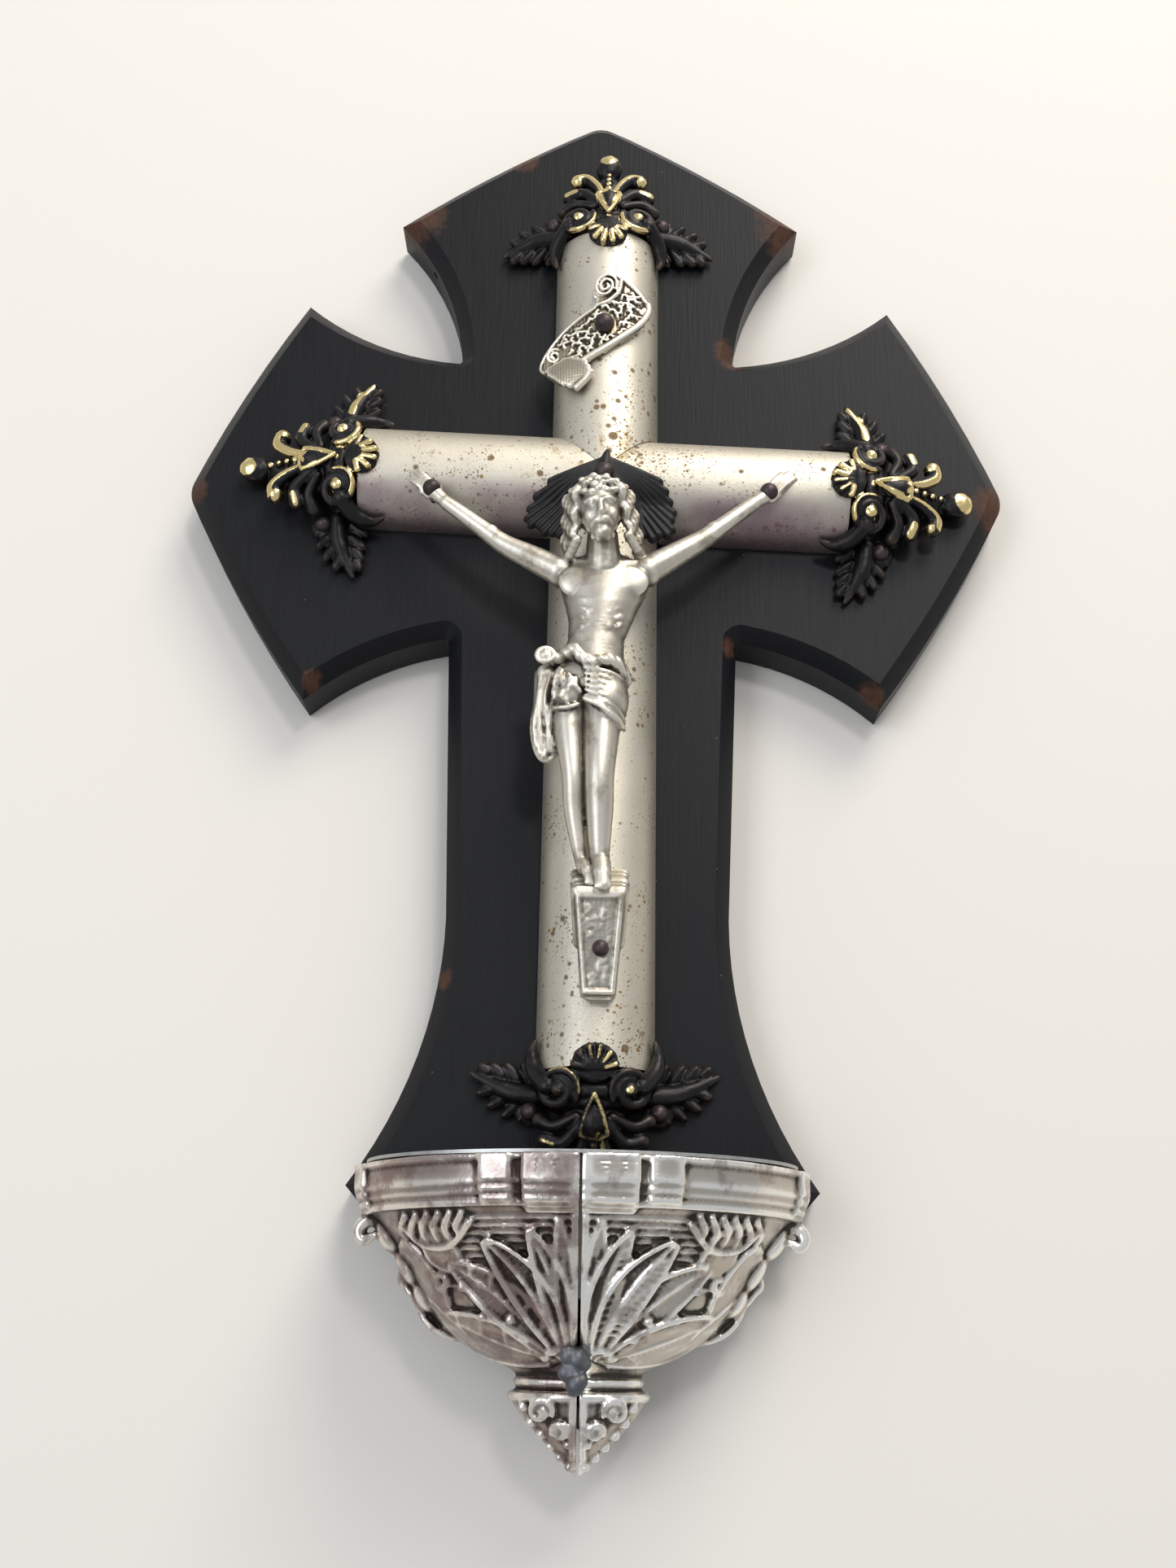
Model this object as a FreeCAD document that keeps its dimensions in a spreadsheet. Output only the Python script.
import FreeCAD, Part
import math
import os

import Sketcher

# Wall crucifix with a holy-water font.
# Frame: +Z up the stem, +X to the right seen from the front, the front faces -Y.
# The back of the board lies in the plane Y = 0, and the origin is on it, at the crossing.
# "Depth" below is the distance in front of the board's front face.

DOC = FreeCAD.newDocument("wall_crucifix")
SHEET = DOC.addObject("Spreadsheet::Sheet", "Dims")

DIMENSIONS = [
    ("board_thick", 12.0),
    ("board_chamfer", 3.0),
    ("notch_round", 0.8),
    ("top_half", 46.0),
    ("top_corner_z", 71.0),
    ("apex_z", 100.5),
    ("notch_x", 30.5),
    ("notch_z", 34.0),
    ("side_upper_x", 66.0),
    ("side_corner_z", 48.6),
    ("tip_x", 89.3),
    ("tip_z", 0.0),
    ("centre_x", 0.0),
    ("side_lower_x", 60.5),
    ("waist_x", 28.3),
    ("waist_z", 95.0),
    ("foot_half", 45.0),
    ("foot_z", 147.6),
    ("tail_z", 190.0),
    ("flank_radius", 60.0),
    ("stem_radius", 90.0),
    ("edge_radius", 300.0),
    ("pin_hole_radius", 0.9),
    ("pin_hole_length", 16.0),
    ("metal_shift_x", 2.0),
    ("metal_shift_z", -0.5),
    ("transom_tilt", 2.4),
    ("tube_radius", 11.5),
    ("tube_sheet", 0.8),
    ("tube_top_reach", 60.0),
    ("tube_side_reach", 52.0),
    ("tube_foot_reach", 126.0),
    ("mitre_gap", 0.1),
    ("finial_size", 27.0),
    ("finial_nail_out", 9.5),
    ("finial_nail_side", 12.2),
    ("corpus_clear", 0.15),
    ("leaf_sheet", 0.8),
    ("scroll_thick", 1.4),
    ("footrest_top", 9.0),
    ("footrest_foot", 5.6),
    ("footrest_height", 25.0),
    ("footrest_depth", 6.0),
    ("font_half", 42.0),
    ("font_depth", 35.0),
    ("font_rim_z", -145.0),
    ("font_height", 52.5),
    ("font_wall", 2.8),
    ("font_seam", 0.4),
    ("lug_depth", 6.0),
    ("liner_back", 7.6),
    ("liner_half", 27.0),
    ("liner_depth", 20.5),
    ("liner_height", 23.0),
    ("liner_wall", 0.7),
    ("liner_lip_half", 39.5),
    ("liner_lip_depth", 26.0),
    ("liner_clear", 0.1),
    ("hanger_z", 64.0),
    ("recess_half_x", 13.0),
    ("recess_half_z", 21.5),
    ("recess_depth", 4.4),
    ("strap_thick", 0.8),
    ("strap_half_x", 4.0),
    ("knuckle_radius", 2.1),
    ("knuckle_bore", 1.4),
    ("knuckle_half_x", 1.9),
    ("ring_radius", 8.0),
    ("ring_wire", 0.9),
    ("screw_radius", 1.2),
    ("screw_head_radius", 2.4),
    ("screw_head_thick", 1.6),
    ("screw_slot", 0.6),
    ("drill_clear", 0.05),
]
VALUES = dict(DIMENSIONS)
for row, (alias, number) in enumerate(DIMENSIONS, start=1):
    SHEET.set("A%d" % row, alias)
    SHEET.set("B%d" % row, repr(number))
    SHEET.setAlias("B%d" % row, alias)
DOC.recompute()

BOARD_FRONT = -VALUES["board_thick"]
NODES = []


# ---------------------------------------------------------------- helpers

def vec(x, y, z):
    return FreeCAD.Vector(x, y, z)


def turn_y(degrees):
    return FreeCAD.Rotation(vec(0, 1, 0), degrees)


def bind(thing, **cells):
    """Bind properties to expressions in which a bare word is a cell of the sheet."""
    for prop, expression in cells.items():
        thing.setExpression(prop, expression)
    return thing


def keep(thing, label):
    """Register a finished sub-part: its Label names its node and its file."""
    thing.Label = label
    NODES.append(thing)
    return thing


def place(thing, base, rotation=None):
    thing.Placement = FreeCAD.Placement(base, rotation or FreeCAD.Rotation())
    return thing


def box(name, base, length, width, height, rotation=None):
    """A box given by expressions, from its base corner."""
    solid = bind(DOC.addObject("Part::Box", name), Length=length, Width=width, Height=height)
    return place(solid, base, rotation)


def rod_y(name, x, z, depth_from, radius, length):
    """A cylinder along +Y whose front end is at depth_from in front of the board."""
    solid = bind(DOC.addObject("Part::Cylinder", name), Radius=radius, Height=length)
    along_y = FreeCAD.Rotation(vec(1, 0, 0), -90)
    return place(solid, vec(x, BOARD_FRONT - depth_from, z), along_y)


def ellipsoid(name, x, depth, z, radius_x, radius_depth, radius_z, spin=0.0):
    """A full ellipsoid, turned about the Y axis. Its centre is depth in front of the plane Y = 0
    of whatever frame it is placed in."""
    solid = DOC.addObject("Part::Ellipsoid", name)
    solid.Angle1 = -90
    bind(solid, Radius1=radius_z, Radius2=radius_x, Radius3=radius_depth)
    return place(solid, vec(x, -depth, z), turn_y(spin))


def limb(name, start, end, radius_start, radius_end):
    """A tapered round limb between two points (x, depth, z, ...)."""
    a = vec(start[0], BOARD_FRONT - start[1], start[2])
    b = vec(end[0], BOARD_FRONT - end[1], end[2])
    solid = DOC.addObject("Part::Cone", name)
    solid.Radius1 = radius_start
    solid.Radius2 = radius_end
    solid.Height = (b - a).Length
    return place(solid, a, FreeCAD.Rotation(vec(0, 0, 1), b - a))


def fuse(name, pieces):
    """All the pieces in one; a single piece is returned as it is."""
    if len(pieces) == 1:
        return pieces[0]
    joined = DOC.addObject("Part::MultiFuse", name)
    joined.Shapes = pieces
    return joined


def cut(name, base, tool):
    result = DOC.addObject("Part::Cut", name)
    result.Base = base
    result.Tool = tool
    return result


def cut_each(name, base, tools):
    """Cut the tools away one after the other and keep the seams between faces, where one cut
    by all of them together fails."""
    for i, tool in enumerate(tools):
        base = cut("%s_%d" % (name, i), base, tool)
        base.Refine = False
    return base


def common(name, base, tool):
    result = DOC.addObject("Part::Common", name)
    result.Base = base
    result.Tool = tool
    return result


def group(name, pieces):
    result = DOC.addObject("Part::Compound", name)
    result.Links = pieces
    return result


def origin_plane(body, role):
    for feature in body.Origin.OriginFeatures:
        if feature.Role == role:
            return feature
    raise ValueError(role)


def new_sketch(body, name, role, offset=0.0):
    sketch = body.newObject("Sketcher::SketchObject", name)
    sketch.AttachmentSupport = (origin_plane(body, role), [""])
    sketch.MapMode = "FlatFace"
    sketch.AttachmentOffset = FreeCAD.Placement(vec(0, 0, offset), FreeCAD.Rotation())
    return sketch


def fix_point(sketch, geometry, end, point, cells):
    """Hold one end of a segment at the signed sheet values that it stands for."""
    for kind, value, cell in (("DistanceX", point.x, cells[0]), ("DistanceY", point.y, cells[1])):
        if abs(value) < 1e-9:
            axis = -2 if kind == "DistanceX" else -1
            sketch.addConstraint(Sketcher.Constraint("PointOnObject", geometry, end, axis))
            continue
        if value > 0:
            rule = Sketcher.Constraint(kind, -1, 1, geometry, end, value)
        else:
            rule = Sketcher.Constraint(kind, geometry, end, -1, 1, -value)
        index = sketch.addConstraint(rule)
        if cell in VALUES:
            sketch.setExpression("Constraints[%d]" % index, "abs(Dims.%s)" % cell)


def bowed_arc(start, end, radius, bulge):
    """The arc of a radius from start to end; bulge is +1 to the left of the way, -1 to the right."""
    chord = end - start
    sagitta = radius - math.sqrt(radius ** 2 - (chord.Length / 2) ** 2)
    side = vec(-chord.y, chord.x, 0)
    side.normalize()
    return Part.Arc(start, (start + end) * 0.5 + side * (bulge * sagitta), end)


def draw_outline(sketch, corners):
    """Draw a closed outline. A corner is ((cell, sign), (cell, sign), edge to the next corner);
    an edge is None for a line, or (radius cell, bulge)."""
    points = []
    for (cell_x, sign_x), (cell_y, sign_y), edge in corners:
        points.append(vec(sign_x * VALUES[cell_x], sign_y * VALUES[cell_y], 0))
    for i, (cell_x, cell_y, edge) in enumerate(corners):
        start = points[i]
        end = points[(i + 1) % len(points)]
        cells_start = (cell_x[0], cell_y[0])
        following = corners[(i + 1) % len(corners)]
        cells_end = (following[0][0], following[1][0])
        if edge is None:
            geometry = sketch.addGeometry(Part.LineSegment(start, end), False)
            first_is_start = True
        else:
            radius_cell, bulge = edge
            arc = bowed_arc(start, end, VALUES[radius_cell], bulge)
            geometry = sketch.addGeometry(arc.toShape().Curve.trim(*arc.toShape().ParameterRange), False)
            first_is_start = (sketch.getPoint(geometry, 1) - start).Length < 1e-6
        ends = (1, 2) if first_is_start else (2, 1)
        fix_point(sketch, geometry, ends[0], start, cells_start)
        fix_point(sketch, geometry, ends[1], end, cells_end)
        if edge is not None:
            index = sketch.addConstraint(Sketcher.Constraint("Radius", geometry, VALUES[edge[0]]))
            sketch.setExpression("Constraints[%d]" % index, "Dims.%s" % edge[0])


def polygon(sketch, points):
    """Draw a closed polygon through plain points."""
    for i, point in enumerate(points):
        following = points[(i + 1) % len(points)]
        sketch.addGeometry(Part.LineSegment(vec(point[0], point[1], 0), vec(following[0], following[1], 0)), False)


def pad(body, sketch, name, length, reversed_way=False):
    feature = body.newObject("PartDesign::Pad", name)
    feature.Profile = sketch
    feature.Reversed = reversed_way
    bind(feature, Length=length)
    return feature


# ---------------------------------------------------------------- nails

class Nail:
    """A round dome-headed nail driven along +Y. seat is the depth of the head's underside."""

    def __init__(self, x, z, seat, head_radius, shank_radius, bite):
        self.x = x
        self.z = z
        self.seat = seat
        self.head_radius = head_radius
        self.shank_radius = shank_radius
        self.bite = bite

    def solid(self, name):
        head = DOC.addObject("Part::Sphere", name + "_dome")
        head.Radius = self.head_radius
        head.Angle1 = 0
        place(head, vec(self.x, BOARD_FRONT - self.seat, self.z), FreeCAD.Rotation(vec(1, 0, 0), 90))
        shank = rod_y(name + "_shank", self.x, self.z, self.seat + 0.2, "1", "1")
        shank.setExpression("Radius", "%r" % self.shank_radius)
        shank.setExpression("Height", "%r" % (self.seat + 0.2 + self.bite))
        return fuse(name, [head, shank])

    def drill(self, name):
        """What the nail needs free: its shank's hole, and room for its head."""
        hole = rod_y(name + "_hole", self.x, self.z, self.seat + 20, "1", "1")
        hole.setExpression("Radius", "%r + Dims.drill_clear" % self.shank_radius)
        hole.setExpression("Height", "%r" % (self.seat + 20 + self.bite + 0.2))
        room = rod_y(name + "_room", self.x, self.z, self.seat + 20, "1", "20")
        room.setExpression("Radius", "%r + Dims.drill_clear" % self.head_radius)
        return fuse(name, [hole, room])


METAL = FreeCAD.Placement(
    vec(VALUES["metal_shift_x"], BOARD_FRONT, VALUES["metal_shift_z"]), FreeCAD.Rotation())
TILT = VALUES["transom_tilt"]
# The four arms of the metal cross: turn from +Z about Y, hand-set tilt, and reach of the tube.
ARMS = {
    "upper": (0, 0.0, "tube_top_reach"),
    "right": (90, TILT, "tube_side_reach"),
    "lower": (180, 0.0, "tube_foot_reach"),
    "left": (270, TILT, "tube_side_reach"),
}


def arm_placement(arm):
    """The frame at the end of an arm's tube, its +Z pointing out along the arm."""
    angle, tilt, reach = ARMS[arm]
    rotation = turn_y(angle + tilt)
    return METAL.multiply(FreeCAD.Placement(rotation.multVec(vec(0, 0, VALUES[reach])), rotation))


def finial_nails_of(arm):
    nails = []
    for side in (-1, 1):
        local = vec(side * VALUES["finial_nail_side"], 0, VALUES["finial_nail_out"] - 2)
        spot = arm_placement(arm).multVec(local)
        nails.append(Nail(spot.x, spot.z, seat=2.8, head_radius=1.8, shank_radius=0.7, bite=6.5))
    return nails


FINIAL_NAILS = {arm: finial_nails_of(arm) for arm in ARMS}
HAND_NAILS = [
    Nail(-34.0, -6.8, seat=12.9, head_radius=1.9, shank_radius=0.7, bite=7.0),
    Nail(36.4, -6.6, seat=12.9, head_radius=1.9, shank_radius=0.7, bite=7.0),
]
FOOTREST_NAIL = Nail(2.7, -105.4, seat=16.3, head_radius=1.6, shank_radius=0.7, bite=7.0)
SCROLL_NAIL = Nail(1.5, 34.0, seat=13.2, head_radius=2.2, shank_radius=0.8, bite=7.0)
LEAF_NAIL = Nail(2.0, -2.3, seat=12.8, head_radius=2.0, shank_radius=0.8, bite=7.0)


# ---------------------------------------------------------------- the board

def board_corners():
    """The outline of the cross, clockwise from the apex, seen from the front."""
    flank = ("flank_radius", -1)
    edge = ("edge_radius", 1)
    plus = 1
    minus = -1
    right = [
        (("centre_x", plus), ("apex_z", plus), edge),
        (("top_half", plus), ("top_corner_z", plus), flank),
        (("notch_x", plus), ("notch_z", plus), flank),
        (("side_upper_x", plus), ("side_corner_z", plus), edge),
        (("tip_x", plus), ("tip_z", plus), edge),
        (("side_lower_x", plus), ("side_corner_z", minus), flank),
        (("notch_x", plus), ("notch_z", minus), None),
        (("waist_x", plus), ("waist_z", minus), ("stem_radius", -1)),
        (("foot_half", plus), ("foot_z", minus), edge),
    ]
    corners = list(right)
    corners.append((("centre_x", plus), ("tail_z", minus), edge))
    # Going back up the left side, each edge belongs to the corner it leaves.
    for i in range(len(right) - 1, 0, -1):
        (cell_x, sign_x), height, _ = right[i]
        corners.append(((cell_x, -sign_x), height, right[i - 1][2]))
    return corners


def make_board_blank():
    body = DOC.addObject("PartDesign::Body", "board_blank")
    outline = new_sketch(body, "board_outline", "XZ_Plane")
    draw_outline(outline, board_corners())
    slab = pad(body, outline, "board_slab", "Dims.board_thick")
    DOC.recompute()
    notch_edges = []
    for i, edge in enumerate(slab.Shape.Edges, start=1):
        spots = [vertex.Point for vertex in edge.Vertexes]
        at_notch = all(abs(abs(p.x) - VALUES["notch_x"]) + abs(abs(p.z) - VALUES["notch_z"]) < 1e-6
                       for p in spots)
        if at_notch:
            notch_edges.append("Edge%d" % i)
    rounded = body.newObject("PartDesign::Fillet", "sawn_notches")
    rounded.Base = (slab, notch_edges)
    bind(rounded, Radius="Dims.notch_round")
    DOC.recompute()
    front_edges = []
    for i, edge in enumerate(rounded.Shape.Edges, start=1):
        if all(abs(v.Point.y - BOARD_FRONT) < 1e-6 for v in edge.Vertexes):
            front_edges.append("Edge%d" % i)
    chamfer = body.newObject("PartDesign::Chamfer", "board_bevel")
    chamfer.Base = (rounded, front_edges)
    bind(chamfer, Size="Dims.board_chamfer")
    DOC.recompute()

    recess = new_sketch(body, "hanger_recess_outline", "XZ_Plane")
    half_x = VALUES["recess_half_x"]
    low = VALUES["hanger_z"] - VALUES["recess_half_z"]
    high = VALUES["hanger_z"] + VALUES["recess_half_z"]
    polygon(recess, [(-half_x, low), (half_x, low), (half_x, high), (-half_x, high)])
    before = chamfer.Shape.Volume
    pocket = body.newObject("PartDesign::Pocket", "hanger_recess")
    pocket.Profile = recess
    pocket.Reversed = True
    bind(pocket, Length="Dims.recess_depth")
    DOC.recompute()
    if pocket.Shape.Volume > before - 100:
        raise RuntimeError("the hanger recess cuts nothing")
    return body


# The old pin hole is bored from this far left of the middle.
PIN_HOLE_FROM = 50.0

# The font's screw lugs on its right half, as (x, z); the left half mirrors them.
FONT_LUGS = [(31.0, -151.5), (9.0, -172.5)]


def board_screw_spots():
    """Where the font's four screws pass through the board, as (x, z)."""
    return [(side * x, z) for x, z in FONT_LUGS for side in (-1, 1)]


def make_board():
    blank = make_board_blank()
    tools = []
    nails = [nail for pair in FINIAL_NAILS.values() for nail in pair]
    nails += HAND_NAILS + [FOOTREST_NAIL, SCROLL_NAIL, LEAF_NAIL]
    for i, nail in enumerate(nails):
        tools.append(nail.drill("board_nail_%d" % i))
    for i, (x, z) in enumerate(board_screw_spots()):
        tools.append(rod_y("board_screw_%d" % i, x, z, 1.0, "Dims.screw_radius + Dims.drill_clear",
                           "Dims.board_thick + 2"))
        tools.append(rod_y("board_sink_%d" % i, x, z, -VALUES["board_thick"] + 2.2,
                           "Dims.screw_head_radius + Dims.drill_clear", "4"))
    for i, side in enumerate((-1, 1)):
        # Pilot holes for the strap's two short screws, from the recess's floor.
        tools.append(rod_y("strap_pilot_%d" % i, side * 2.1, VALUES["hanger_z"] + 6.0, -7.6 + 2.6,
                           "0.75", "6"))
    pin = DOC.addObject("Part::Cylinder", "old_pin_hole")
    bind(pin, Radius="Dims.pin_hole_radius", Height="Dims.pin_hole_length")
    place(pin, vec(-PIN_HOLE_FROM, -VALUES["board_thick"] / 2, 60.0), FreeCAD.Rotation(vec(0, 1, 0), 90))
    tools.append(pin)
    keep(cut("back_board", blank, fuse("board_drills", tools)), "back_board")


# ---------------------------------------------------------------- the silvered tubes

def make_tube(arm, drills):
    """Half a tube of thin sheet, mitred at 45 degrees where the four arms meet."""
    angle, tilt, reach = ARMS[arm]
    lie = METAL.multiply(FreeCAD.Placement(vec(0, 0, 0), turn_y(angle + tilt)))
    half = FreeCAD.Rotation(vec(0, 0, 1), 180)
    outer = bind(DOC.addObject("Part::Cylinder", "tube_%s_outside" % arm),
                 Radius="Dims.tube_radius", Height="Dims.%s" % reach)
    inner = bind(DOC.addObject("Part::Cylinder", "tube_%s_inside" % arm),
                 Radius="Dims.tube_radius - Dims.tube_sheet", Height="Dims.%s + 2" % reach)
    outer.Angle = 180
    outer.Placement = lie.multiply(FreeCAD.Placement(vec(0, 0, 0), half))
    inner.Placement = lie.multiply(FreeCAD.Placement(vec(0, 0, -1), FreeCAD.Rotation()))
    sheet = cut("tube_%s_sheet" % arm, outer, inner)
    size = 240.0
    corner = turn_y(angle).multVec(vec(0, 0, VALUES["mitre_gap"]))
    quarter = box("tube_%s_mitre" % arm, METAL.Base + corner - vec(0, size / 2, 0),
                  "240", "240", "240", turn_y(angle - 45))
    tube = common("tube_%s_mitred" % arm, sheet, quarter)
    if drills:
        tube = cut("tube_%s_drilled" % arm, tube, fuse("tube_%s_drills" % arm, drills))
    keep(tube, "tube_" + arm)


def make_tubes():
    make_tube("upper", [SCROLL_NAIL.drill("tube_upper_nail")])
    make_tube("lower", [FOOTREST_NAIL.drill("tube_lower_nail"), LEAF_NAIL.drill("tube_leaf_nail")])
    make_tube("left", [HAND_NAILS[0].drill("tube_left_nail")])
    make_tube("right", [HAND_NAILS[1].drill("tube_right_nail")])


# ---------------------------------------------------------------- the cast finials

# Each mass of the palmette: x, depth and z from the tube's end, then its radii along x, depth
# and z, all as fractions of the finial's size, and its turn in degrees. Mirrored where x > 0.
FINIAL_MASSES = [
    (0.0, 0.0, 0.88, 0.11, 0.13, 0.12, 0),
    (0.0, 0.0, 0.50, 0.12, 0.17, 0.40, 0),
    (0.19, 0.0, 0.70, 0.085, 0.12, 0.17, 38),
    (0.27, 0.0, 0.46, 0.09, 0.12, 0.19, 58),
    (0.24, 0.0, 0.24, 0.17, 0.24, 0.15, 0),
    (0.45, 0.0, 0.28, 0.14, 0.13, 0.13, 0),
    (0.64, 0.0, 0.13, 0.24, 0.09, 0.10, 12),
    (0.475, 0.0, -0.08, 0.06, 0.13, 0.18, 0),
]


def make_finial(arm):
    """A palmette casting: it caps the tube's end, lies on the board and hugs the tube."""
    masses = []
    for i, (x, depth, z, rx, rd, rz, spin) in enumerate(FINIAL_MASSES):
        sides = (1,) if x == 0 else (1, -1)
        for side in sides:
            name = "finial_%s_mass_%d_%s" % (arm, i, "r" if side > 0 else "l")
            size = VALUES["finial_size"]
            masses.append(ellipsoid(
                name, side * x * size, depth * size, z * size,
                "Dims.finial_size * %r" % rx, "Dims.finial_size * %r" % rd,
                "Dims.finial_size * %r" % rz, side * spin))
    cap = ellipsoid("finial_%s_cap" % arm, 0, 0, 0.5, "Dims.tube_radius + 0.6",
                    "Dims.tube_radius + 1.2", "Dims.finial_size * 0.28")
    shell = fuse("finial_%s_shell" % arm, masses + [cap])
    tube_space = bind(DOC.addObject("Part::Cylinder", "finial_%s_tube_space" % arm),
                      Radius="Dims.tube_radius + 0.1", Height="40")
    place(tube_space, vec(0, 0, -39.8))
    wood_space = box("finial_%s_wood_space" % arm, vec(-60, 0, -60), "120", "30", "120")
    hollow = ellipsoid("finial_%s_hollow" % arm, 0, 0, -0.5, "Dims.tube_radius - 0.9",
                       "Dims.tube_radius - 0.9", "Dims.finial_size * 0.2")
    trimmed = cut("finial_%s_trimmed" % arm, shell,
                  fuse("finial_%s_spaces" % arm, [tube_space, wood_space, hollow]))
    trimmed.Placement = arm_placement(arm)
    drills = [nail.drill("finial_%s_nail_%d" % (arm, i)) for i, nail in enumerate(FINIAL_NAILS[arm])]
    drilled = cut("finial_%s_drilled" % arm, trimmed, fuse("finial_%s_drills" % arm, drills))
    keep(drilled, "finial_" + arm)


# ---------------------------------------------------------------- leaf plate, scroll, footrest

FOOTREST_TOP_Z = -89.0
LEAF_PLATE_FRONT = 12.9


def make_leaf_plate():
    """Two pressed leaves on one plate behind the head, nailed over the mitred crossing."""
    body = DOC.addObject("PartDesign::Body", "leaf_body")
    outline = new_sketch(body, "leaf_outline", "XZ_Plane")
    right_leaf = [(1.6, 2.2), (6.0, 0.6), (11.0, -4.0), (15.2, -10.5), (14.0, -14.5), (8.0, -16.5), (3.0, -14.0)]
    left_leaf = [(-x, z) for x, z in reversed(right_leaf)]
    polygon(outline, right_leaf + [(0.0, -11.0)] + left_leaf)
    pad(body, outline, "leaf_sheet_pad", "Dims.leaf_sheet")
    body.Placement = METAL.multiply(
        FreeCAD.Placement(vec(0, -VALUES["tube_radius"] - 0.35, 0), FreeCAD.Rotation()))
    keep(cut("leaf_plate_drilled", body, LEAF_NAIL.drill("leaf_plate_nail")), "leaf_plate")


def make_scroll():
    """The title scroll: a cast ribbon that crosses the upper tube on a slant."""
    body = DOC.addObject("PartDesign::Body", "scroll_body")
    outline = new_sketch(body, "scroll_outline", "XZ_Plane")
    polygon(outline, [(-11.5, -3.6), (-4.0, -4.6), (4.0, -3.8), (12.0, -4.2), (12.4, 3.0),
                      (5.0, 4.2), (-4.0, 3.6), (-11.0, 4.4)])
    pad(body, outline, "scroll_ribbon_pad", "Dims.scroll_thick")
    curls = []
    for i, (x, z, length) in enumerate(((-11.5, -7.0, 11.0), (10.0, -3.6, 10.0))):
        curl = bind(DOC.addObject("Part::Cylinder", "scroll_curl_%d" % i),
                    Radius="Dims.scroll_thick * 1.1", Height="%r" % length)
        place(curl, vec(x, -VALUES["scroll_thick"] * 1.1, z))
        curls.append(curl)
    ribbon = fuse("scroll_shape", [body] + curls)
    slant = 33.0
    ribbon.Placement = FreeCAD.Placement(
        vec(1.2, BOARD_FRONT - VALUES["tube_radius"] - 0.1, 34.0), turn_y(-slant))
    keep(cut("scroll_drilled", ribbon, SCROLL_NAIL.drill("scroll_nail_hole")), "title_scroll")


def footrest_slope(name, above, gap):
    """The space above or below the footrest's sloping top, on which the feet stand."""
    slope = FreeCAD.Rotation(vec(1, 0, 0), 47.0)
    back_edge = vec(2.4 - 12, BOARD_FRONT - 12.0, FOOTREST_TOP_Z)
    drop = 0.0 if above else -20.0 - gap
    return box(name, back_edge + slope.multVec(vec(0, -15, drop)), "24", "30", "20", slope)


def make_footrest():
    """The tapered footrest block, hollowed behind to sit on the round of the lower tube."""
    body = DOC.addObject("PartDesign::Body", "footrest_body")
    outline = new_sketch(body, "footrest_outline", "XZ_Plane")
    top = VALUES["footrest_top"] / 2
    foot = VALUES["footrest_foot"] / 2
    height = VALUES["footrest_height"]
    polygon(outline, [(-top, 0), (top, 0), (foot, -height), (-foot, -height)])
    pad(body, outline, "footrest_block", "Dims.footrest_depth + 2")
    body.Placement = FreeCAD.Placement(vec(2.4, BOARD_FRONT - 10.0, FOOTREST_TOP_Z), FreeCAD.Rotation())
    spaces = [FOOTREST_NAIL.drill("footrest_nail_hole"), footrest_slope("footrest_top_slope", True, 0.0)]
    # The front leans back towards the foot of the block.
    lean = FreeCAD.Rotation(vec(1, 0, 0), 9.0)
    spaces.append(box("footrest_front_lean", vec(-10, BOARD_FRONT - 18.0, -96.0) + lean.multVec(vec(0, -10, -30)),
                      "24", "10", "60", lean))
    space = bind(DOC.addObject("Part::Cylinder", "footrest_tube_space"),
                 Radius="Dims.tube_radius + Dims.corpus_clear", Height="60")
    place(space, vec(VALUES["metal_shift_x"], BOARD_FRONT, -130))
    spaces.append(space)
    keep(cut("footrest_cut", body, fuse("footrest_spaces", spaces)), "footrest")


# ---------------------------------------------------------------- the cast figure

# Front outlines of the figure's masses as (x, z), with the depths each lies between.
CORPUS_TRUNK = [
    (9.0, -24.5), (10.8, -28.5), (9.6, -34.0), (6.6, -43.0), (8.8, -47.0), (9.4, -54.0), (7.4, -62.0),
    (5.6, -64.0), (-5.4, -64.0), (-5.6, -67.0), (-10.4, -66.0), (-9.6, -56.0), (-8.4, -50.0), (-6.8, -46.5),
    (-5.2, -43.0), (-6.8, -34.0), (-7.6, -28.5), (-6.0, -24.5)]
CORPUS_LEGS = [
    (7.4, -62.0), (6.3, -72.5), (5.0, -80.0), (4.8, -88.0), (5.3, -94.0), (3.4, -97.0), (0.6, -95.0),
    (-0.6, -90.0), (-1.2, -84.0), (-3.9, -73.0), (-5.4, -62.0)]
CORPUS_ARMS = [
    (9.0, -24.5), (22.0, -15.6), (40.2, -2.2), (41.0, -5.2), (38.6, -8.4), (22.6, -20.0), (10.8, -28.8),
    (-7.6, -28.8), (-19.0, -20.8), (-36.0, -9.0), (-38.8, -6.2), (-38.0, -3.0), (-18.6, -16.6), (-6.0, -24.5)]
CORPUS_MASSES = [
    ("trunk", CORPUS_TRUNK, 11.0, 20.2),
    ("legs", CORPUS_LEGS, 12.2, 21.0),
    ("arms", CORPUS_ARMS, 9.4, 15.4),
]


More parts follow.
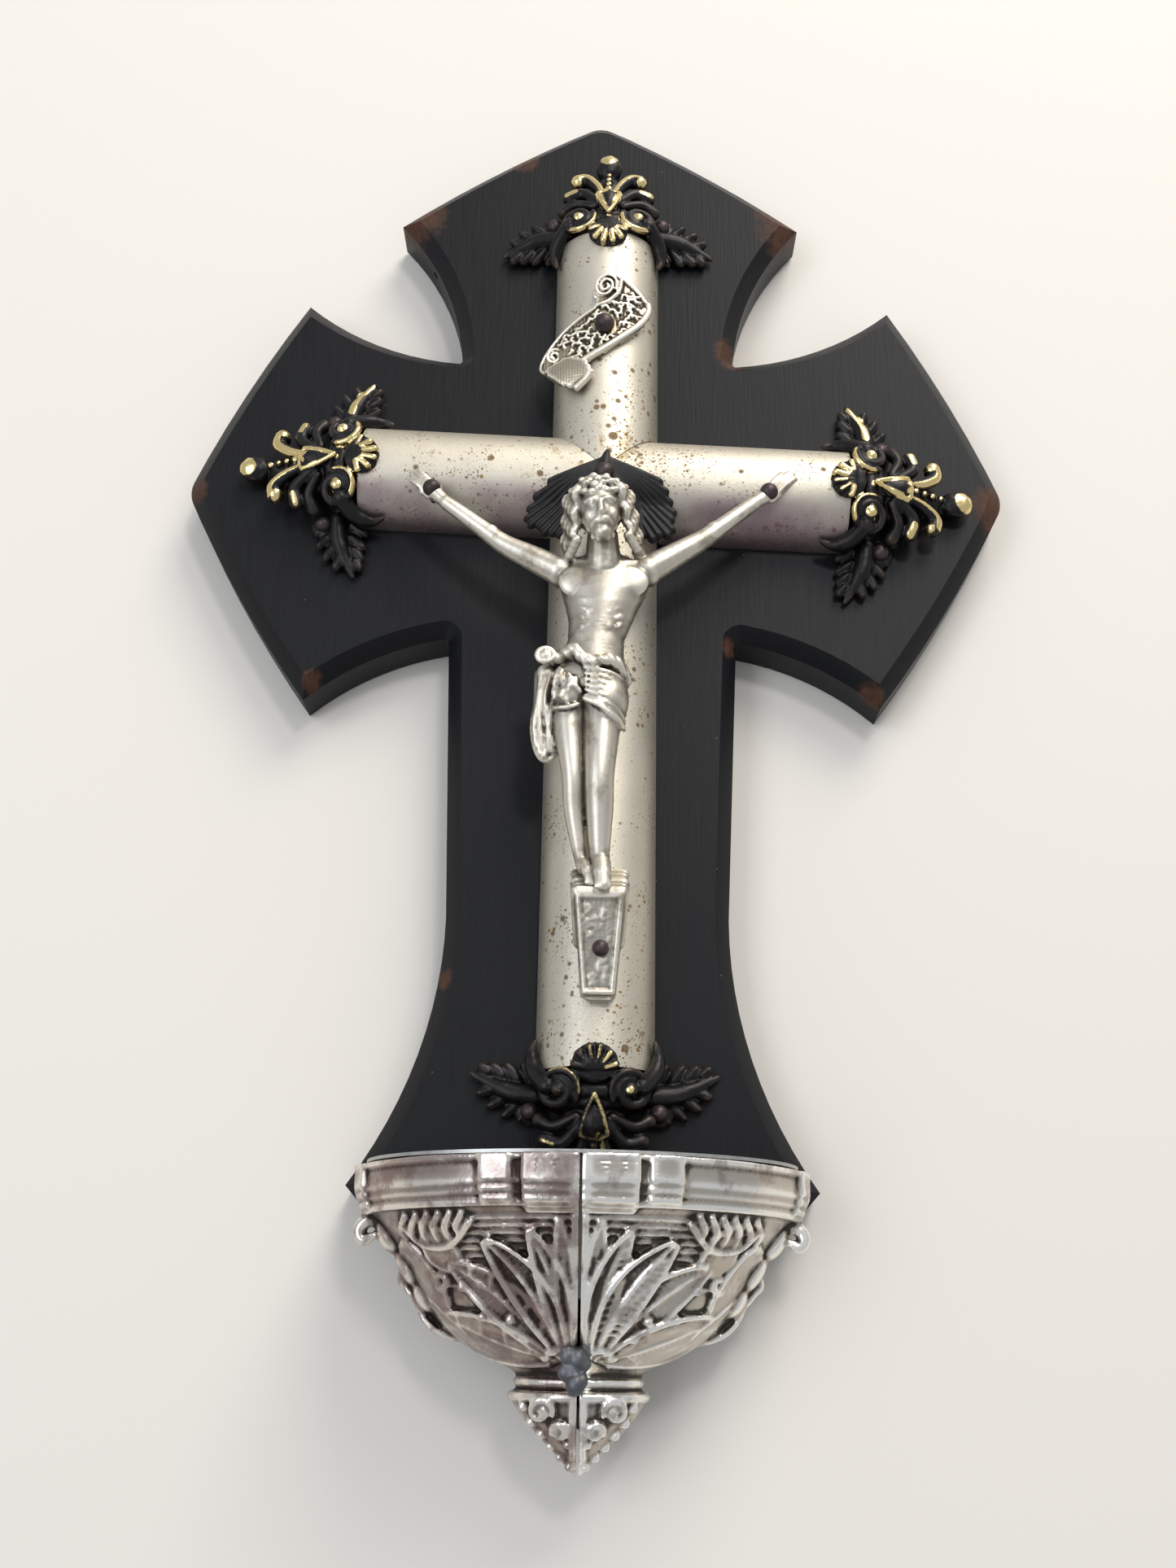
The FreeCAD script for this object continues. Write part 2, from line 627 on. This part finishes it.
def make_corpus():
    """The cast figure as plain masses, cut back to the tubes, leaf plate, footrest and nails."""
    masses = []
    for name, outline, near, far in CORPUS_MASSES:
        body = DOC.addObject("PartDesign::Body", "corpus_%s_body" % name)
        sketch = new_sketch(body, "corpus_%s_outline" % name, "XZ_Plane")
        polygon(sketch, outline)
        pad(body, sketch, "corpus_%s_pad" % name, repr(far - near))
        masses.append(place(body, vec(0, BOARD_FRONT - near, 0)))
    head = DOC.addObject("Part::Sphere", "corpus_crown")
    head.Radius = 6.2
    masses.append(place(head, vec(2.4, BOARD_FRONT - 20.4, -16.4)))
    masses.append(limb("corpus_face", (2.4, 20.4, -16.4), (2.2, 21.0, -25.0), 6.0, 3.6))
    masses.append(limb("corpus_neck", (2.2, 18.4, -20.0), (2.0, 16.3, -28.0), 3.5, 3.9))
    figure = fuse("corpus_masses", masses)
    spaces = [nail.drill("corpus_nail_%d" % i) for i, nail in enumerate(HAND_NAILS)]
    for arm, (angle, tilt, reach) in ARMS.items():
        space = bind(DOC.addObject("Part::Cylinder", "corpus_space_%s" % arm),
                     Radius="Dims.tube_radius + Dims.corpus_clear", Height="Dims.%s" % reach)
        space.Placement = METAL.multiply(FreeCAD.Placement(vec(0, 0, 0), turn_y(angle + tilt)))
        spaces.append(space)
    leaf_space = vec(-20, BOARD_FRONT - LEAF_PLATE_FRONT, -19.5)
    spaces.append(box("corpus_leaf_space", leaf_space, "44", "5", "24"))
    spaces.append(LEAF_NAIL.drill("corpus_leaf_nail"))
    spaces.append(footrest_slope("corpus_footrest_space", False, -VALUES["corpus_clear"]))
    keep(cut_each("corpus_cut", figure, spaces), "corpus")


# ---------------------------------------------------------------- the font

# Section of the font: height below the rim, half width and depth, as fractions of
# font_height, font_half and font_depth. Between the levels the wall is straight.
FONT_LEVELS = [
    (0.000, 1.000, 1.000),
    (0.060, 1.000, 1.000),
    (0.075, 0.965, 0.960),
    (0.170, 0.930, 0.915),
    (0.230, 0.870, 0.830),
    (0.325, 0.775, 0.715),
    (0.475, 0.680, 0.600),
    (0.600, 0.535, 0.455),
    (0.685, 0.310, 0.260),
    (0.715, 0.275, 0.245),
    (0.745, 0.300, 0.270),
    (0.860, 0.190, 0.185),
    (1.000, 0.015, 0.014),
]
FONT_CAVITY_LEVELS = 7


def ellipse_loft(name, sections):
    """A solid through level ellipses: each is (z, half width, depth, shift), as expressions
    for the two radii and numbers for the place."""
    wires = []
    for i, (z, half, depth, y) in enumerate(sections):
        ring = bind(DOC.addObject("Part::Ellipse", "%s_level_%d" % (name, i)),
                    MajorRadius=half, MinorRadius=depth)
        wires.append(place(ring, vec(0, y, z)))
    loft = DOC.addObject("Part::Loft", name)
    loft.Sections = wires
    loft.Solid = True
    loft.Ruled = True
    return loft


def font_sections(inside):
    top = VALUES["font_rim_z"]
    sections = []
    levels = FONT_LEVELS[:FONT_CAVITY_LEVELS] if inside else FONT_LEVELS
    wall = " - Dims.font_wall" if inside else ""
    for drop, half, depth in levels:
        sections.append((top - drop * VALUES["font_height"], "Dims.font_half * %r%s" % (half, wall),
                         "Dims.font_depth * %r%s" % (depth, wall), BOARD_FRONT))
    if inside:
        # The cavity starts above the rim and closes at a small flat bottom.
        first = sections[0]
        sections.insert(0, (first[0] + 2, first[1], first[2], first[3]))
        last_drop = 0.59 * VALUES["font_height"]
        sections.append((top - last_drop, "Dims.font_half * 0.48", "Dims.font_depth * 0.38", BOARD_FRONT))
    return sections


def make_font_halves():
    """Two cast half shells with a solder seam between them, each with two lugs for screws.
    The right half is built, and the left half is its mirror image."""
    outer = ellipse_loft("font_outside", font_sections(False))
    inner = ellipse_loft("font_inside", font_sections(True))
    shell = cut("font_shell", outer, inner)
    lugs = []
    drills = []
    for i, (x, z) in enumerate(FONT_LUGS):
        reach = 8.5 if i == 0 else 11.5
        lugs.append(box("font_lug_%d" % i, vec(x - 3.0, BOARD_FRONT - VALUES["lug_depth"], z - 3.0),
                        "%r" % (reach + 3.0), "Dims.lug_depth", "6"))
        drills.append(rod_y("font_lug_hole_%d" % i, x, z, VALUES["lug_depth"] - 1.0,
                            "Dims.screw_radius + Dims.drill_clear", "8"))
    lugs_in = common("font_lugs", fuse("font_lug_pair", lugs), outer)
    joined = fuse("font_joined", [shell, lugs_in])
    half_space = box("font_right_space", vec(VALUES["font_seam"] / 2, BOARD_FRONT - 60, -210), "60", "60", "80")
    half = common("font_halved", joined, half_space)
    right = keep(cut("font_right_drilled", half, fuse("font_lug_drills", drills)), "font_right_half")
    left = DOC.addObject("Part::Mirroring", "font_mirrored")
    left.Source = right
    left.Normal = vec(1, 0, 0)
    keep(left, "font_left_half")
    return outer


def make_font_solder(font_outside):
    """A blob of soft solder where the leaves of the two halves meet, over the seam."""
    blob = ellipsoid("solder_blob", -1.0, 13.8 + VALUES["board_thick"], -178.4, "4.4", "3.6", "4.0")
    keep(cut("font_solder_cut", blob, font_outside), "font_solder")


def make_font_screws():
    """Four slotted countersunk screws that hold the font from behind the board."""
    screws = []
    for i, (x, z) in enumerate(board_screw_spots()):
        shank = rod_y("font_screw_shank_%d" % i, x, z, VALUES["lug_depth"] - 1.4, "Dims.screw_radius",
                      "Dims.board_thick + Dims.lug_depth - 1.4 - 1")
        head = rod_y("font_screw_head_%d" % i, x, z, -VALUES["board_thick"] + 2.1,
                     "Dims.screw_head_radius", "Dims.screw_head_thick")
        slot = box("font_screw_slot_%d" % i, vec(x - 3, -1.2, z - VALUES["screw_slot"] / 2),
                   "6", "2", "Dims.screw_slot")
        screws.append(cut("font_screw_%d" % i, fuse("font_screw_body_%d" % i, [shank, head]), slot))
    keep(group("font_screw_group", screws), "font_screws")


def make_liner():
    """The lift-out water cup: a tapered D-shaped cup with a flat lip that rests on the font's rim."""
    top = VALUES["font_rim_z"] + VALUES["liner_clear"]
    back = BOARD_FRONT - VALUES["liner_back"]
    low = top - VALUES["liner_height"]
    outer = ellipse_loft("liner_outside", [
        (top, "Dims.liner_half", "Dims.liner_depth", back),
        (top - 0.45 * VALUES["liner_height"], "Dims.liner_half * 0.82", "Dims.liner_depth * 0.80", back),
        (low, "Dims.liner_half * 0.46", "Dims.liner_depth * 0.40", back),
    ])
    inner = ellipse_loft("liner_inside", [
        (top + 2, "Dims.liner_half - Dims.liner_wall", "Dims.liner_depth - Dims.liner_wall", back),
        (top, "Dims.liner_half - Dims.liner_wall", "Dims.liner_depth - Dims.liner_wall", back),
        (top - 0.45 * VALUES["liner_height"], "Dims.liner_half * 0.82 - Dims.liner_wall",
         "Dims.liner_depth * 0.80 - Dims.liner_wall", back),
        (low + 0.8, "Dims.liner_half * 0.47 - Dims.liner_wall", "Dims.liner_depth * 0.41 - Dims.liner_wall", back),
    ])
    lip = ellipse_loft("liner_lip", [
        (top, "Dims.liner_lip_half", "Dims.liner_lip_depth", back),
        (top + 0.6, "Dims.liner_lip_half", "Dims.liner_lip_depth", back),
    ])
    solid = fuse("liner_solid", [outer, lip])
    front_half = box("liner_front_half", vec(-60, back - 60, -200), "120", "60", "80")
    walls = common("liner_halved", solid, front_half)
    hollow_half = box("liner_hollow_half", vec(-60, back - 60 - VALUES["liner_wall"], -200),
                      "120", "60", "80")
    hollow = common("liner_hollow", inner, hollow_half)
    keep(cut("liner_cup", walls, hollow), "font_liner")


# ---------------------------------------------------------------- the hanger

def make_hanger_strap():
    """A brass strap in the back's recess, its rolled knuckle holding the hanging ring."""
    floor = -VALUES["recess_depth"]
    hinge_y = floor + VALUES["knuckle_radius"]
    hinge_z = VALUES["hanger_z"]
    plate = box("strap_plate", vec(-VALUES["strap_half_x"], floor, hinge_z),
                "2 * Dims.strap_half_x", "Dims.strap_thick", "9")
    half = VALUES["knuckle_half_x"]
    along_x = FreeCAD.Rotation(vec(0, 1, 0), 90)
    knuckle = bind(DOC.addObject("Part::Cylinder", "strap_knuckle"),
                   Radius="Dims.knuckle_radius", Height="2 * Dims.knuckle_half_x")
    place(knuckle, vec(-half, hinge_y, hinge_z), along_x)
    bore = bind(DOC.addObject("Part::Cylinder", "strap_bore"), Radius="Dims.knuckle_bore", Height="20")
    place(bore, vec(-10, hinge_y, hinge_z), along_x)
    # The plate stops short of the ring's wire each side of the knuckle.
    clear = VALUES["ring_wire"] + 1.0
    notches = []
    for i, side in enumerate((-1, 1)):
        low_x = side * half if side > 0 else side * half - 6
        notches.append(box("strap_notch_%d" % i, vec(low_x, floor - 1, hinge_z - 2), "6", "6",
                           "%r" % (2 + clear)))
    holes = []
    for i, side in enumerate((-1, 1)):
        holes.append(rod_y("strap_hole_%d" % i, side * 2.1, hinge_z + 6.0, -7.6 + 2.6, "0.85", "8"))
    body = fuse("strap_body", [plate, knuckle])
    keep(cut("hanger_strap_cut", body, fuse("strap_spaces", [bore] + notches + holes)), "hanger_strap")


def make_hanger_screws():
    """Two short round-headed screws that hold the strap."""
    floor = -VALUES["recess_depth"] + VALUES["strap_thick"]
    screws = []
    for i, side in enumerate((-1, 1)):
        shank = rod_y("hanger_screw_shank_%d" % i, side * 2.1, VALUES["hanger_z"] + 6.0,
                      -5.2, "0.7", "%r" % (VALUES["board_thick"] - 5.2 + floor + 0.3))
        head = DOC.addObject("Part::Sphere", "hanger_screw_head_%d" % i)
        head.Radius = 1.5
        head.Angle1 = 0
        place(head, vec(side * 2.1, floor, VALUES["hanger_z"] + 6.0), FreeCAD.Rotation(vec(1, 0, 0), -90))
        slot = box("hanger_screw_slot_%d" % i, vec(side * 2.1 - 2, floor + 1.0, VALUES["hanger_z"] + 5.8),
                   "4", "2", "0.4")
        screws.append(cut("hanger_screw_%d" % i, fuse("hanger_screw_body_%d" % i, [shank, head]), slot))
    keep(group("hanger_screw_group", screws), "hanger_screws")


def make_hanger_ring():
    """The hanging ring, resting down inside the recess; it turns about X at the knuckle."""
    hinge_y = -VALUES["recess_depth"] + VALUES["knuckle_radius"]
    ring = bind(DOC.addObject("Part::Torus", "ring_torus"), Radius1="Dims.ring_radius", Radius2="Dims.ring_wire")
    place(ring, vec(0, hinge_y, VALUES["hanger_z"] - VALUES["ring_radius"]), FreeCAD.Rotation(vec(1, 0, 0), 90))
    keep(ring, "hanger_ring")


# ---------------------------------------------------------------- nails as nodes

def make_nails():
    pins = []
    for arm, pair in FINIAL_NAILS.items():
        for i, nail in enumerate(pair):
            pins.append(nail.solid("finial_pin_%s_%d" % (arm, i)))
    keep(group("finial_nail_group", pins), "finial_nails")
    hands = [nail.solid("hand_pin_%d" % i) for i, nail in enumerate(HAND_NAILS)]
    keep(group("hand_nail_group", hands), "hand_nails")
    keep(FOOTREST_NAIL.solid("footrest_pin"), "footrest_nail")
    keep(SCROLL_NAIL.solid("scroll_pin"), "scroll_nail")
    keep(LEAF_NAIL.solid("leaf_pin"), "leaf_nail")


def check_and_write():
    DOC.recompute()
    failed = [thing.Name for thing in DOC.Objects if "Invalid" in thing.State or "Error" in thing.State]
    if failed:
        raise RuntimeError("did not rebuild: %s" % ", ".join(failed))
    os.makedirs("parts", exist_ok=True)
    for node in NODES:
        shape = node.Shape
        if shape.isNull() or not shape.isValid():
            raise RuntimeError("%s has no valid shape" % node.Label)
        solids = len(shape.Solids)
        print("%-16s %2d solid(s) %10.1f mm3" % (node.Label, solids, shape.Volume))
        shape.exportStep("parts/%s.step" % node.Label)


make_board()
make_tubes()
for arm_name in ARMS:
    make_finial(arm_name)
make_leaf_plate()
make_scroll()
make_footrest()
make_corpus()
make_font_solder(make_font_halves())
make_font_screws()
make_liner()
make_hanger_strap()
make_hanger_screws()
make_hanger_ring()
make_nails()
check_and_write()
